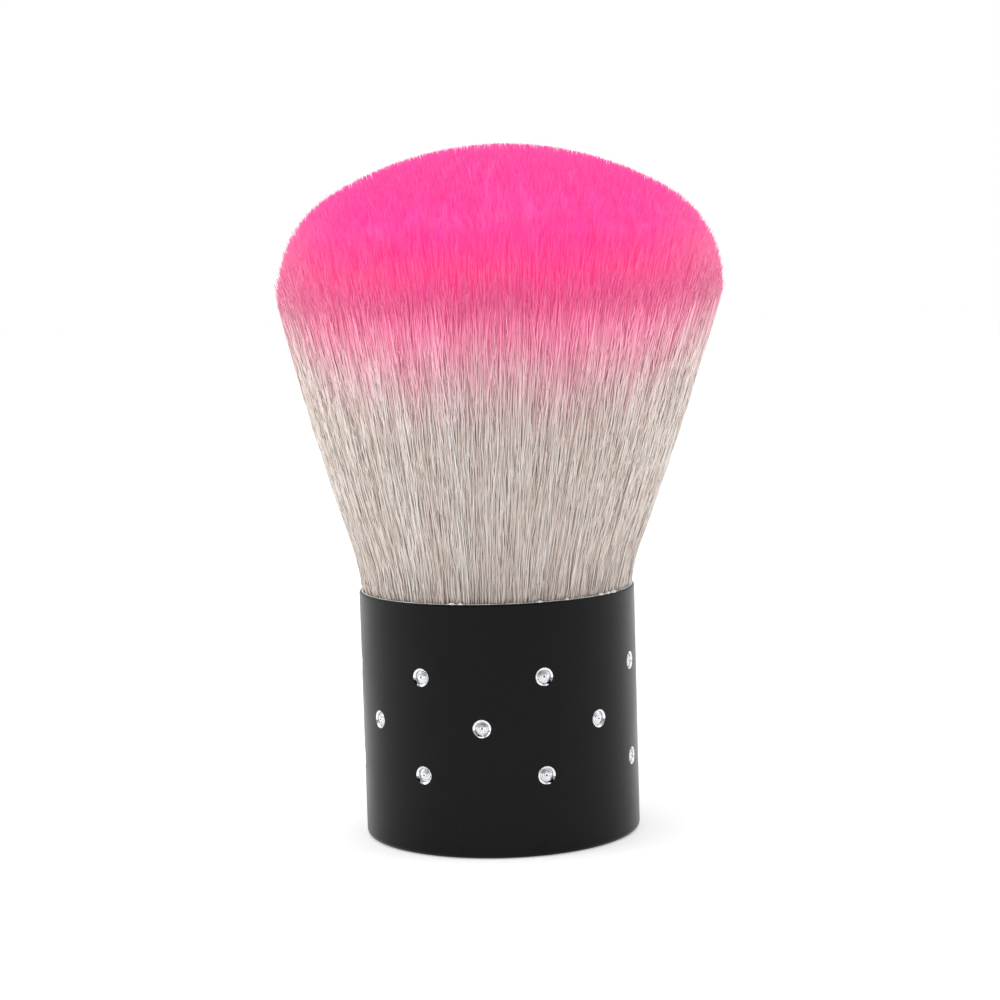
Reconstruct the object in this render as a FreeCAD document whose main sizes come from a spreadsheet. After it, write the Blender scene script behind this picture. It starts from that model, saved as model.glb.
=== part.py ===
import FreeCAD, Part
import math
import os

import Sketcher

# Acrylic nail brush: a short anodised cup of a handle, set with three staggered rows of small
# stones, and a mushroom-shaped head of fine filaments potted in an inner cup.
#
# Sizes are millimetres. +Z is up and the origin is the centre of the base that the brush
# stands on. A stone of the middle row faces -Y.

# ---------------------------------------------------------------------------------------------
# Driving sizes: alias, value, meaning
# ---------------------------------------------------------------------------------------------

SIZES = [
    ("brush_height", 69.7, "base to the top of the filaments"),
    ("handle_diameter", 28.0, "outside of the handle"),
    ("handle_height", 25.0, "base to rim"),
    ("handle_wall", 1.2, "wall of the handle"),
    ("handle_floor", 1.5, "floor of the handle"),
    ("foot_radius", 0.8, "rounding of the outer edge of the base"),
    ("rim_radius", 0.3, "rounding of the outer edge of the rim"),
    ("rim_land", 0.1, "flat of the rim, inside its rounding"),
    ("mouth_chamfer_depth", 2.0, "height of the chamfer inside the mouth"),
    ("stones_per_row", 7, "stones round the handle in each row"),
    ("middle_row_height", 12.9, "centre of the middle row above the base"),
    ("row_pitch", 4.85, "height between rows"),
    ("stone_diameter", 1.5, "across the corners of a stone's girdle"),
    ("stone_sides", 12, "facets round a stone"),
    ("girdle_height", 0.45, "straight part of a stone"),
    ("crown_height", 0.25, "tapered part of a stone"),
    ("crown_taper", 45.0, "slope of the crown facets from the stone's axis, degrees"),
    ("stone_recess", 0.05, "stone's table below the handle's surface"),
    ("stone_glue_thickness", 0.08, "adhesive under a stone"),
    ("seat_clearance", 0.03, "radial gap round a stone and its adhesive"),
    ("seat_bevel_width", 0.22, "width of the bright-cut bevel round a seat"),
    ("seat_bevel_depth", 0.2, "depth of the bright-cut bevel round a seat"),
    ("cup_clearance", 0.25, "radial gap between the knot cup and the handle"),
    ("cup_wall", 0.8, "wall of the knot cup"),
    ("cup_floor", 0.8, "floor of the knot cup"),
    ("cup_set_down", 8.5, "top of the knot cup below the handle's rim"),
    ("rib_count", 6, "centring ribs on the knot cup"),
    ("rib_width", 1.2, "width of a centring rib"),
    ("rib_gap", 0.03, "gap between a rib and the handle"),
    ("rib_setback", 1.5, "top of the ribs below the top of the knot cup"),
    ("resin_floor", 1.0, "resin under the filament roots"),
    ("resin_collar", 3.0, "height of the resin collar round the filament roots"),
    ("thread_diameter", 0.5, "binding thread"),
    ("thread_clearance", 0.05, "total radial gap of the thread between knot and cup"),
    ("thread_turns", 5, "turns of binding thread"),
    ("thread_gap", 0.02, "gap between turns, and between the lowest turn and the resin"),
    ("glue_width", 0.5, "width of the adhesive bead between filaments and mouth"),
    ("glue_depth", 1.0, "depth of the adhesive bead"),
    ("glue_gap", 0.02, "gap between the bead and the filaments"),
    ("glue_set_down", 0.05, "top of the bead below the rim"),
    ("head_diameter", 45.4, "widest part of the filament head"),
    ("shoulder_radius", 9.0, "rounding between the cone and the crown of the head"),
    ("crown_radius", 30.0, "rounding over the top of the head"),
]

# ---------------------------------------------------------------------------------------------
# Sizes that follow from them, as expressions over the sheet
# ---------------------------------------------------------------------------------------------

HANDLE_RADIUS = "(Sizes.handle_diameter / 2)"
BORE_RADIUS = f"({HANDLE_RADIUS} - Sizes.handle_wall)"
MOUTH_RADIUS = f"({HANDLE_RADIUS} - Sizes.rim_radius - Sizes.rim_land)"
CHAMFER_START = "(Sizes.handle_height - Sizes.mouth_chamfer_depth)"

STONE_RADIUS = "(Sizes.stone_diameter / 2)"
STONE_HEIGHT = "(Sizes.girdle_height + Sizes.crown_height)"
STONE_BASE = f"({HANDLE_RADIUS} - Sizes.stone_recess - {STONE_HEIGHT})"
SEAT_RADIUS = f"({STONE_RADIUS} + Sizes.seat_clearance)"
SEAT_FLOOR = f"({STONE_BASE} - Sizes.stone_glue_thickness)"
BEVEL_FLOOR = f"({HANDLE_RADIUS} - Sizes.seat_bevel_depth)"
# The bevel's cone is carried this far past the surface, so that it cuts the whole rim of a seat.
BEVEL_OVERSHOOT = "(Sizes.seat_bevel_depth * 2)"
BEVEL_OUTER_RADIUS = f"({SEAT_RADIUS} + Sizes.seat_bevel_width * 3)"

CUP_RADIUS = f"({BORE_RADIUS} - Sizes.cup_clearance)"
CUP_BORE_RADIUS = f"({CUP_RADIUS} - Sizes.cup_wall)"
CUP_TOP = "(Sizes.handle_height - Sizes.cup_set_down)"
CUP_INSIDE_FLOOR = "(Sizes.handle_floor + Sizes.cup_floor)"

KNOT_RADIUS = f"({CUP_BORE_RADIUS} - Sizes.thread_diameter - Sizes.thread_clearance)"
KNOT_FLOOR = f"({CUP_INSIDE_FLOOR} + Sizes.resin_floor)"
RESIN_TOP = f"({KNOT_FLOOR} + Sizes.resin_collar)"
THREAD_RADIUS = "(Sizes.thread_diameter / 2)"
THREAD_CENTRE_RADIUS = f"({CUP_BORE_RADIUS} - Sizes.thread_clearance / 2 - {THREAD_RADIUS})"
THREAD_PITCH = "(Sizes.thread_diameter + Sizes.thread_gap)"

HEAD_RADIUS = "(Sizes.head_diameter / 2)"
HAIR_MOUTH_RADIUS = f"({MOUTH_RADIUS} - Sizes.glue_width)"
GLUE_INNER_RADIUS = f"({HAIR_MOUTH_RADIUS} + Sizes.glue_gap)"

ROWS = ["lower", "middle", "upper"]

doc = FreeCAD.newDocument("acrylic_nail_brush")
sheet = doc.addObject("Spreadsheet::Sheet", "Sizes")


def fill_sheet():
    """Write each driving size, its alias and its meaning in a row of the sheet."""
    for row, (alias, value, meaning) in enumerate(SIZES, start=1):
        sheet.set(f"A{row}", meaning)
        sheet.set(f"B{row}", str(value))
        sheet.setAlias(f"B{row}", alias)
    doc.recompute()


def value_of(expression):
    """Number that an expression over the sheet gives."""
    return float(sheet.evalExpression(expression))


# ---------------------------------------------------------------------------------------------
# Sketch and body helpers
# ---------------------------------------------------------------------------------------------


def origin_feature(body, role):
    """Plane or axis of a body's own origin."""
    for feature in body.Origin.OriginFeatures:
        if feature.Role == role:
            return feature
    raise ValueError(f"no origin feature {role}")


def new_body(label):
    """Empty PartDesign body with the sub-part's name."""
    body = doc.addObject("PartDesign::Body", label)
    body.Label = label
    return body


def new_sketch(body, name, role, offset=None):
    """Sketch on one of the body's origin planes; offset is an expression for its attachment."""
    sketch = body.newObject("Sketcher::SketchObject", name)
    sketch.AttachmentSupport = [(origin_feature(body, role), "")]
    sketch.MapMode = "FlatFace"
    if offset:
        sketch.setExpression("AttachmentOffset", offset)
    doc.recompute()
    return sketch


def bind(sketch, kind, *args, to):
    """Add a dimensional constraint and bind it to an expression."""
    index = sketch.addConstraint(Sketcher.Constraint(kind, *args, value_of(to)))
    sketch.setExpression(f"Constraints[{index}]", to)


def bind_point(sketch, line, end, across, up):
    """Hold one end of a line at (across, up); an expression "0" puts it on the axis."""
    horizontal_axis, vertical_axis = -1, -2
    if across == "0":
        sketch.addConstraint(Sketcher.Constraint("PointOnObject", line, end, vertical_axis))
    else:
        bind(sketch, "DistanceX", -1, 1, line, end, to=across)
    if up == "0":
        sketch.addConstraint(Sketcher.Constraint("PointOnObject", line, end, horizontal_axis))
    else:
        bind(sketch, "DistanceY", -1, 1, line, end, to=up)


def add_outline(sketch, corners):
    """Closed outline of straight lines through corners, each an (across, up) pair of expressions."""
    points = [FreeCAD.Vector(value_of(across), value_of(up), 0) for across, up in corners]
    count = len(points)
    for index in range(count):
        sketch.addGeometry(Part.LineSegment(points[index], points[(index + 1) % count]), False)
    for index in range(count):
        sketch.addConstraint(Sketcher.Constraint("Coincident", index, 2, (index + 1) % count, 1))
    for index, (across, up) in enumerate(corners):
        bind_point(sketch, index, 1, across, up)


def add_polygon(sketch, sides, radius):
    """Regular polygon round the sketch's origin, its corners on a construction circle."""
    size = value_of(radius)
    corners = []
    for index in range(sides):
        angle = 2 * math.pi * index / sides
        corners.append(FreeCAD.Vector(size * math.cos(angle), size * math.sin(angle), 0))
    for index in range(sides):
        sketch.addGeometry(Part.LineSegment(corners[index], corners[(index + 1) % sides]), False)
    circle = sketch.addGeometry(Part.Circle(FreeCAD.Vector(), FreeCAD.Vector(0, 0, 1), size), True)
    sketch.addConstraint(Sketcher.Constraint("Coincident", circle, 3, -1, 1))
    for index in range(sides):
        sketch.addConstraint(Sketcher.Constraint("Coincident", index, 2, (index + 1) % sides, 1))
        sketch.addConstraint(Sketcher.Constraint("PointOnObject", index, 1, circle))
    for index in range(1, sides):
        sketch.addConstraint(Sketcher.Constraint("Equal", 0, index))
    sketch.addConstraint(Sketcher.Constraint("PointOnObject", 0, 1, -1))
    bind(sketch, "Radius", circle, to=radius)


def revolve(body, name, sketch, kind="PartDesign::Revolution", axis="V_Axis"):
    """Full turn of a sketch round one of its axes, as a solid or a groove."""
    feature = body.newObject(kind, name)
    feature.Profile = sketch
    feature.ReferenceAxis = (sketch, [axis])
    feature.Angle = 360
    body.Tip = feature
    doc.recompute()
    return feature


def pattern_round(body, name, feature, count):
    """Repeat a feature round the body's Z axis."""
    pattern = body.newObject("PartDesign::PolarPattern", name)
    pattern.Originals = [feature]
    pattern.Axis = (origin_feature(body, "Z_Axis"), [""])
    pattern.Angle = 360
    pattern.setExpression("Occurrences", count)
    body.Tip = pattern
    doc.recompute()
    return pattern


def round_edge(body, name, radius_at, height_at, rounding):
    """Fillet the circular edge of the body that has this radius at this height."""
    base = body.Tip
    edges = []
    for number, edge in enumerate(base.Shape.Edges, start=1):
        if not isinstance(edge.Curve, Part.Circle):
            continue
        same_radius = math.isclose(edge.Curve.Radius, value_of(radius_at), abs_tol=1e-4)
        same_height = math.isclose(edge.Curve.Center.z, value_of(height_at), abs_tol=1e-4)
        if same_radius and same_height:
            edges.append(f"Edge{number}")
    fillet = body.newObject("PartDesign::Fillet", name)
    fillet.Base = (base, edges)
    fillet.setExpression("Radius", rounding)
    body.Tip = fillet
    doc.recompute()
    return fillet


def must_cut(before, after, name):
    """Stop if a cutting feature took nothing away."""
    if after.Shape.Volume >= before.Shape.Volume - 1e-3:
        raise RuntimeError(f"{name} cuts nothing")


# ---------------------------------------------------------------------------------------------
# Places of the stones
# ---------------------------------------------------------------------------------------------


def row_height(row):
    """Height of a row of stones above the base."""
    return f"(Sizes.middle_row_height + {ROWS.index(row) - 1} * Sizes.row_pitch)"


def stone_angle(row, index):
    """Turn about +Z from -Y of a stone; the outer rows stand half a pitch from the middle one."""
    half_pitches = 2 * index if row == "middle" else 2 * index + 1
    return f"({half_pitches} * 180 / Sizes.stones_per_row)"


def on_handle(row, index, radius):
    """Placement of a piece whose own Z axis points straight out of the handle at a stone's seat."""
    angle = stone_angle(row, index)
    point = f"vector({radius} * sin({angle}); -{radius} * cos({angle}); {row_height(row)})"
    return f"placement({point}; rotation({angle}; 0; 90))"


def each_seat():
    """Row and number of every stone seat."""
    for row in ROWS:
        for index in range(int(value_of("Sizes.stones_per_row"))):
            yield row, index


# ---------------------------------------------------------------------------------------------
# Sub-parts
# ---------------------------------------------------------------------------------------------


def make_handle_cup():
    """Turned aluminium cup with a chamfered mouth and three rows of bevelled stone seats."""
    body = new_body("handle_cup")
    profile = new_sketch(body, "handle_profile", "XZ_Plane")
    add_outline(profile, [
        ("0", "0"),
        (HANDLE_RADIUS, "0"),
        (HANDLE_RADIUS, "Sizes.handle_height"),
        (MOUTH_RADIUS, "Sizes.handle_height"),
        (BORE_RADIUS, CHAMFER_START),
        (BORE_RADIUS, "Sizes.handle_floor"),
        ("0", "Sizes.handle_floor"),
    ])
    revolve(body, "handle_turning", profile)
    round_edge(body, "foot_rounding", HANDLE_RADIUS, "0", "Sizes.foot_radius")
    round_edge(body, "rim_rounding", HANDLE_RADIUS, "Sizes.handle_height", "Sizes.rim_radius")

    for row in ROWS:
        # Turned so that the sketch's own X axis points out through the first seat of the row.
        turn = f"rotation(0; 180 + {stone_angle(row, 0)}; 0)"
        offset = f"placement(vector(0; {row_height(row)}; 0); {turn})"
        seat = new_sketch(body, f"{row}_seat_profile", "YZ_Plane", offset)
        add_outline(seat, [
            (SEAT_FLOOR, "0"),
            (f"({HANDLE_RADIUS} + {BEVEL_OVERSHOOT})", "0"),
            (f"({HANDLE_RADIUS} + {BEVEL_OVERSHOOT})", BEVEL_OUTER_RADIUS),
            (BEVEL_FLOOR, SEAT_RADIUS),
            (SEAT_FLOOR, SEAT_RADIUS),
        ])
        before = body.Tip
        groove = revolve(body, f"{row}_seat", seat, "PartDesign::Groove", "H_Axis")
        must_cut(before, groove, groove.Name)
        pattern = pattern_round(body, f"{row}_seats", groove, "Sizes.stones_per_row")
        must_cut(groove, pattern, pattern.Name)
    return body


def make_knot_cup():
    """Moulded cup that holds the knot, with centring ribs, standing on the handle's floor."""
    body = new_body("knot_cup")
    profile = new_sketch(body, "cup_profile", "XZ_Plane")
    add_outline(profile, [
        ("0", "Sizes.handle_floor"),
        (CUP_RADIUS, "Sizes.handle_floor"),
        (CUP_RADIUS, CUP_TOP),
        (CUP_BORE_RADIUS, CUP_TOP),
        (CUP_BORE_RADIUS, CUP_INSIDE_FLOOR),
        ("0", CUP_INSIDE_FLOOR),
    ])
    revolve(body, "cup_moulding", profile)

    on_floor = "placement(vector(0; 0; Sizes.handle_floor); rotation(0; 0; 0))"
    rib_section = new_sketch(body, "rib_section", "XY_Plane", on_floor)
    rib_root = f"({CUP_RADIUS} - Sizes.cup_wall / 2)"
    rib_tip = f"({BORE_RADIUS} - Sizes.rib_gap)"
    add_outline(rib_section, [
        (rib_root, "(-Sizes.rib_width / 2)"),
        (rib_tip, "(-Sizes.rib_width / 2)"),
        (rib_tip, "(Sizes.rib_width / 2)"),
        (rib_root, "(Sizes.rib_width / 2)"),
    ])
    rib = body.newObject("PartDesign::Pad", "centring_rib")
    rib.Profile = rib_section
    rib.setExpression("Length", f"{CUP_TOP} - Sizes.rib_setback - Sizes.handle_floor")
    body.Tip = rib
    doc.recompute()
    pattern_round(body, "centring_ribs", rib, "Sizes.rib_count")
    return body


def make_resin_plug():
    """Cured resin: a disc under the filament roots with a collar round them."""
    body = new_body("resin_plug")
    profile = new_sketch(body, "resin_profile", "XZ_Plane")
    add_outline(profile, [
        ("0", CUP_INSIDE_FLOOR),
        (CUP_BORE_RADIUS, CUP_INSIDE_FLOOR),
        (CUP_BORE_RADIUS, RESIN_TOP),
        (KNOT_RADIUS, RESIN_TOP),
        (KNOT_RADIUS, KNOT_FLOOR),
        ("0", KNOT_FLOOR),
    ])
    revolve(body, "resin_casting", profile)
    return body


def make_knot_thread():
    """Turns of binding thread drawn tight round the knot, above the resin."""
    turns = []
    for index in range(int(value_of("Sizes.thread_turns"))):
        turn = doc.addObject("Part::Torus", f"thread_turn_{index + 1}")
        turn.setExpression("Radius1", THREAD_CENTRE_RADIUS)
        turn.setExpression("Radius2", THREAD_RADIUS)
        height = f"{RESIN_TOP} + {THREAD_RADIUS} + Sizes.thread_gap + {index} * {THREAD_PITCH}"
        turn.setExpression("Placement.Base.z", height)
        turns.append(turn)
    thread = doc.addObject("Part::Compound", "knot_thread")
    thread.Label = "knot_thread"
    thread.Links = turns
    doc.recompute()
    return thread


def make_bristle_bundle():
    """Filaments as one solid: straight knot, cone through the mouth, shoulder and crown."""
    body = new_body("bristle_bundle")
    sketch = new_sketch(body, "bristle_profile", "XZ_Plane")

    # Starting places for the solver. The crown's centre is on the axis, and the shoulder's
    # circle lies inside the crown's and touches it.
    knot, knot_floor = value_of(KNOT_RADIUS), value_of(KNOT_FLOOR)
    top, crown = value_of("Sizes.brush_height"), value_of("Sizes.crown_radius")
    shoulder = value_of("Sizes.shoulder_radius")
    crown_centre = FreeCAD.Vector(0, top - crown, 0)
    out = value_of(HEAD_RADIUS) - shoulder
    rise = math.sqrt((crown - shoulder) ** 2 - out ** 2)
    shoulder_centre = FreeCAD.Vector(out, crown_centre.y + rise, 0)

    # The cone's line runs from the rim and touches the shoulder's circle on its outer side.
    rim = FreeCAD.Vector(value_of(HAIR_MOUTH_RADIUS), value_of("Sizes.handle_height"), 0)
    to_centre = shoulder_centre - rim
    slope = math.atan2(to_centre.y, to_centre.x) - math.asin(shoulder / to_centre.Length)
    outward = FreeCAD.Vector(math.sin(slope), -math.cos(slope), 0)
    cone_top = shoulder_centre + outward * shoulder
    cone_foot = FreeCAD.Vector(knot, rim.y - (rim.x - knot) * math.tan(slope), 0)
    crown_foot = crown_centre + (shoulder_centre - crown_centre).normalize() * crown

    corners = [FreeCAD.Vector(0, knot_floor, 0), FreeCAD.Vector(knot, knot_floor, 0)]
    normal = FreeCAD.Vector(0, 0, 1)
    floor_line = sketch.addGeometry(Part.LineSegment(corners[0], corners[1]))
    knot_line = sketch.addGeometry(Part.LineSegment(corners[1], cone_foot))
    cone_line = sketch.addGeometry(Part.LineSegment(cone_foot, cone_top))
    shoulder_arc = sketch.addGeometry(Part.ArcOfCircle(
        Part.Circle(shoulder_centre, normal, shoulder),
        slope - math.pi / 2, math.atan2(rise, out)))
    crown_arc = sketch.addGeometry(Part.ArcOfCircle(
        Part.Circle(crown_centre, normal, crown), math.atan2(rise, out), math.pi / 2))
    axis_line = sketch.addGeometry(Part.LineSegment(FreeCAD.Vector(0, top, 0), corners[0]))
    rim_point = sketch.addGeometry(Part.Point(rim), True)

    start, end, centre, origin, vertical_axis = 1, 2, 3, -1, -2
    for constraint in [
        ("Coincident", floor_line, end, knot_line, start),
        ("Coincident", knot_line, end, cone_line, start),
        ("Tangent", cone_line, end, shoulder_arc, start),
        ("Tangent", shoulder_arc, end, crown_arc, start),
        ("Coincident", crown_arc, end, axis_line, start),
        ("Coincident", axis_line, end, floor_line, start),
        ("Horizontal", floor_line),
        ("Vertical", knot_line),
        ("PointOnObject", floor_line, start, vertical_axis),
        ("PointOnObject", crown_arc, end, vertical_axis),
        ("PointOnObject", crown_arc, centre, vertical_axis),
        ("PointOnObject", rim_point, start, cone_line),
    ]:
        sketch.addConstraint(Sketcher.Constraint(*constraint))
    bind(sketch, "DistanceX", origin, 1, floor_line, end, to=KNOT_RADIUS)
    bind(sketch, "DistanceY", origin, 1, floor_line, end, to=KNOT_FLOOR)
    bind(sketch, "DistanceX", origin, 1, rim_point, start, to=HAIR_MOUTH_RADIUS)
    bind(sketch, "DistanceY", origin, 1, rim_point, start, to="Sizes.handle_height")
    bind(sketch, "Radius", shoulder_arc, to="Sizes.shoulder_radius")
    bind(sketch, "Radius", crown_arc, to="Sizes.crown_radius")
    bind(sketch, "DistanceX", origin, 1, shoulder_arc, centre, to=f"({HEAD_RADIUS} - Sizes.shoulder_radius)")
    bind(sketch, "DistanceY", origin, 1, crown_arc, end, to="Sizes.brush_height")
    revolve(body, "bristle_turning", sketch)
    return body


def make_mouth_glue():
    """Bead of clear adhesive between the filaments and the chamfer of the handle's mouth."""
    body = new_body("mouth_glue")
    profile = new_sketch(body, "glue_profile", "XZ_Plane")
    chamfer_slope = f"(({MOUTH_RADIUS} - {BORE_RADIUS}) / Sizes.mouth_chamfer_depth)"
    add_outline(profile, [
        (GLUE_INNER_RADIUS, "(Sizes.handle_height - Sizes.glue_depth)"),
        (f"({MOUTH_RADIUS} - Sizes.glue_depth * {chamfer_slope})",
         "(Sizes.handle_height - Sizes.glue_depth)"),
        (f"({MOUTH_RADIUS} - Sizes.glue_set_down * {chamfer_slope})",
         "(Sizes.handle_height - Sizes.glue_set_down)"),
        (GLUE_INNER_RADIUS, "(Sizes.handle_height - Sizes.glue_set_down)"),
    ])
    revolve(body, "glue_bead", profile)
    return body


def make_stone_glue():
    """One small disc of adhesive on the floor of every stone seat."""
    discs = []
    for row, index in each_seat():
        disc = doc.addObject("Part::Cylinder", f"glue_{row}_{index + 1}")
        disc.setExpression("Radius", STONE_RADIUS)
        disc.setExpression("Height", "Sizes.stone_glue_thickness")
        disc.setExpression("Placement", on_handle(row, index, SEAT_FLOOR))
        discs.append(disc)
    glue = doc.addObject("Part::Compound", "stone_glue")
    glue.Label = "stone_glue"
    glue.Links = discs
    doc.recompute()
    return glue


def make_stone(row, index):
    """Flat-backed stone: a straight girdle under a crown of tapered facets and a flat table."""
    body = new_body(f"stone_{row}_{index + 1}")
    sides = int(value_of("Sizes.stone_sides"))
    girdle_section = new_sketch(body, "girdle_section", "XY_Plane")
    add_polygon(girdle_section, sides, STONE_RADIUS)
    girdle = body.newObject("PartDesign::Pad", "girdle")
    girdle.Profile = girdle_section
    girdle.setExpression("Length", "Sizes.girdle_height")

    above = "placement(vector(0; 0; Sizes.girdle_height); rotation(0; 0; 0))"
    crown_section = new_sketch(body, "crown_section", "XY_Plane", above)
    add_polygon(crown_section, sides, STONE_RADIUS)
    crown = body.newObject("PartDesign::Pad", "crown")
    crown.Profile = crown_section
    crown.setExpression("Length", "Sizes.crown_height")
    crown.setExpression("TaperAngle", "-Sizes.crown_taper")
    body.Tip = crown
    body.setExpression("Placement", on_handle(row, index, STONE_BASE))
    doc.recompute()
    return body


# ---------------------------------------------------------------------------------------------
# Build, check and write
# ---------------------------------------------------------------------------------------------


def check(parts):
    """Stop if any object failed, or any sub-part's shape is empty or invalid."""
    for item in doc.Objects:
        if "Invalid" in item.State or "Error" in item.State:
            raise RuntimeError(f"{item.Name} failed: {item.State}")
    for part in parts:
        if part.Shape.isNull() or not part.Shape.isValid() or not part.Shape.Solids:
            raise RuntimeError(f"{part.Label} has no valid solid")


def main():
    """Make every sub-part and write one STEP file for each."""
    fill_sheet()
    parts = [
        make_handle_cup(),
        make_knot_cup(),
        make_resin_plug(),
        make_knot_thread(),
        make_bristle_bundle(),
        make_mouth_glue(),
        make_stone_glue(),
    ]
    for row, index in each_seat():
        parts.append(make_stone(row, index))
    doc.recompute()
    check(parts)
    os.makedirs("parts", exist_ok=True)
    for part in parts:
        part.Shape.exportStep(f"parts/{part.Label}.step")
        box = part.Shape.BoundBox
        print(f"{part.Label:18s} solids {len(part.Shape.Solids):2d} volume {part.Shape.Volume:9.2f}"
              f" z {box.ZMin:6.2f} to {box.ZMax:6.2f} radius {box.XMax:6.2f}")


main()
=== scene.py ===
"""Acrylic nail brush: the looks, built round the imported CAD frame.

Lengths are metres, angles are radians unless a name says degrees, and +Z is up. The brush
stands on its base at the origin. A direction t is the way that (sin t, -cos t, 0) points, so
that direction 0 is -Y, which a stone of the middle row faces.
"""

import logging
import math
from collections.abc import Iterator
from dataclasses import dataclass
from enum import Enum
from typing import Any

import bpy
import numpy as np
from mathutils import Matrix, Vector


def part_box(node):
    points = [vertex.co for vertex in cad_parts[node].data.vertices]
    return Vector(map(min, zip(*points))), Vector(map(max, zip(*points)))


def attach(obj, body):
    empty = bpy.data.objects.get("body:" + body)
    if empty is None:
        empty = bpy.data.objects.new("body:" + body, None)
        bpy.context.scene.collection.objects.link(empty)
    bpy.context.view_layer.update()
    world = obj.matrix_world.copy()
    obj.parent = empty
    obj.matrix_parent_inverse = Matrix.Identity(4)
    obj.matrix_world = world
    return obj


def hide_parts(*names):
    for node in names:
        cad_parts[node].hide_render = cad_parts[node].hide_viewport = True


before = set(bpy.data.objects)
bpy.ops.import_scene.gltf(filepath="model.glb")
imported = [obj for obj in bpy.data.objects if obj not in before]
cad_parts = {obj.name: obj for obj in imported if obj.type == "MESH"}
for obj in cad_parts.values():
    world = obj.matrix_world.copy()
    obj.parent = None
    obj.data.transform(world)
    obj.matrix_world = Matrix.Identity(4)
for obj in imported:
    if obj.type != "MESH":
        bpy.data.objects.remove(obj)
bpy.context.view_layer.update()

MM = 0.001
TAU = 2 * math.pi
UP = np.array([0.0, 0.0, 1.0])
LOG = logging.getLogger("nail_brush")

Pair = tuple[float, float]
Stops = list[tuple[float, str | float]]
Array = np.ndarray
Socket = bpy.types.NodeSocket
Material = bpy.types.Material
Piece = bpy.types.Object


class StoneRow(Enum):
    """A row of stones, and how many half pitches it is turned from the row that faces -Y."""

    LOWER = ("lower", 1)
    MIDDLE = ("middle", 0)
    UPPER = ("upper", 1)

    def __init__(self, label: str, half_turns: int) -> None:
        """Keep the word in the row's node names, and its turn."""
        self.label = label
        self.half_turns = half_turns


class Foil(Enum):
    """Silver foil behind a facet of a stone, or a painted dark reflection on it; the value is the number
    of its material.
    """

    SILVER = 0
    NONE = 1


def facing(turn: float | Array) -> Array:
    """Level unit vector of a direction, or of each of an array of directions."""
    return np.stack([np.sin(turn), -np.cos(turn), np.zeros_like(turn)], axis=-1)


def towards(turn: float, rise: float) -> Vector:
    """Unit vector that points rise above the level in a direction."""
    return Vector((math.sin(turn) * math.cos(rise), -math.cos(turn) * math.cos(rise), math.sin(rise)))


# --- Materials ---


def linear(hex_colour: str) -> tuple[float, float, float, float]:
    """Linear red, green, blue and an alpha of 1, from six sRGB hex digits."""
    levels = [int(hex_colour[i:i + 2], 16) / 255 for i in (0, 2, 4)]
    red, green, blue = (v / 12.92 if v <= 0.04045 else ((v + 0.055) / 1.055) ** 2.4 for v in levels)
    return red, green, blue, 1.0


def add_node(tree: bpy.types.NodeTree, kind: str, settings: dict[str, Any] | None = None,
             inputs: dict[str | int, Any] | None = None) -> bpy.types.Node:
    """Add one node with its settings, values and links.

    Args:
        tree: the tree that gets the node.
        kind: the node's type after "ShaderNode", such as "Math".
        settings: properties of the node.
        inputs: value, or output socket to link, for each input socket by name or number.

    Returns:
        The node.
    """
    node = tree.nodes.new(f"ShaderNode{kind}")
    for name, value in (settings or {}).items():
        setattr(node, name, value)
    for name, value in (inputs or {}).items():
        socket = node.inputs[name]
        if isinstance(value, Socket):
            tree.links.new(value, socket)
        else:
            socket.default_value = value
    return node


class Shading:
    """A material in the making, with short ways to add the nodes that repeat."""

    def __init__(self, name: str) -> None:
        """Start an empty node material."""
        self.material = bpy.data.materials.new(name)
        self.material.use_nodes = True
        self.tree = self.material.node_tree
        self.tree.nodes.clear()
        self.output = self.add("OutputMaterial")

    def add(self, kind: str, settings: dict[str, Any] | None = None,
            inputs: dict[str | int, Any] | None = None) -> bpy.types.Node:
        """Add a node, as add_node does."""
        return add_node(self.tree, kind, settings, inputs)

    def noise(self, size: float, detail: float) -> Socket:
        """Noise in object coordinates, with features of a real size."""
        place = self.add("TexCoord").outputs["Object"]
        return self.add("TexNoise", inputs={
            "Vector": place, "Scale": 1 / size, "Detail": detail}).outputs["Fac"]

    def ramp(self, at: Socket, stops: Stops, interpolation: str = "LINEAR") -> Socket:
        """Colour at a value, between stops of place and sRGB hex value or linear level."""
        node = self.add("ValToRGB", inputs={"Fac": at})
        node.color_ramp.interpolation = interpolation
        elements = node.color_ramp.elements
        while len(elements) < len(stops):
            elements.new(0.5)
        for element, (place, colour) in zip(elements, stops):
            element.position = place
            element.color = linear(colour) if isinstance(colour, str) else (*[colour] * 3, 1.0)
        return node.outputs["Color"]

    def bump(self, height: Socket, strength: float, distance: float) -> Socket:
        """Normal of a surface with bumps of that height."""
        return self.add("Bump", inputs={
            "Height": height, "Strength": strength, "Distance": distance}).outputs["Normal"]

    def mix(self, blend: str, share: Any, first: Any, second: Any) -> Socket:
        """Colour mixed from two, in one of the node's blend types."""
        return self.add("Mix", {"data_type": "RGBA", "blend_type": blend}, {
            0: share, 6: first, 7: second}).outputs[2]

    def finish(self, inputs: dict[str, Any]) -> Material:
        """End in one Principled shader with these inputs, and give the material."""
        shader = self.add("BsdfPrincipled", inputs=inputs)
        self.tree.links.new(shader.outputs["BSDF"], self.output.inputs["Surface"])
        return self.material


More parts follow.
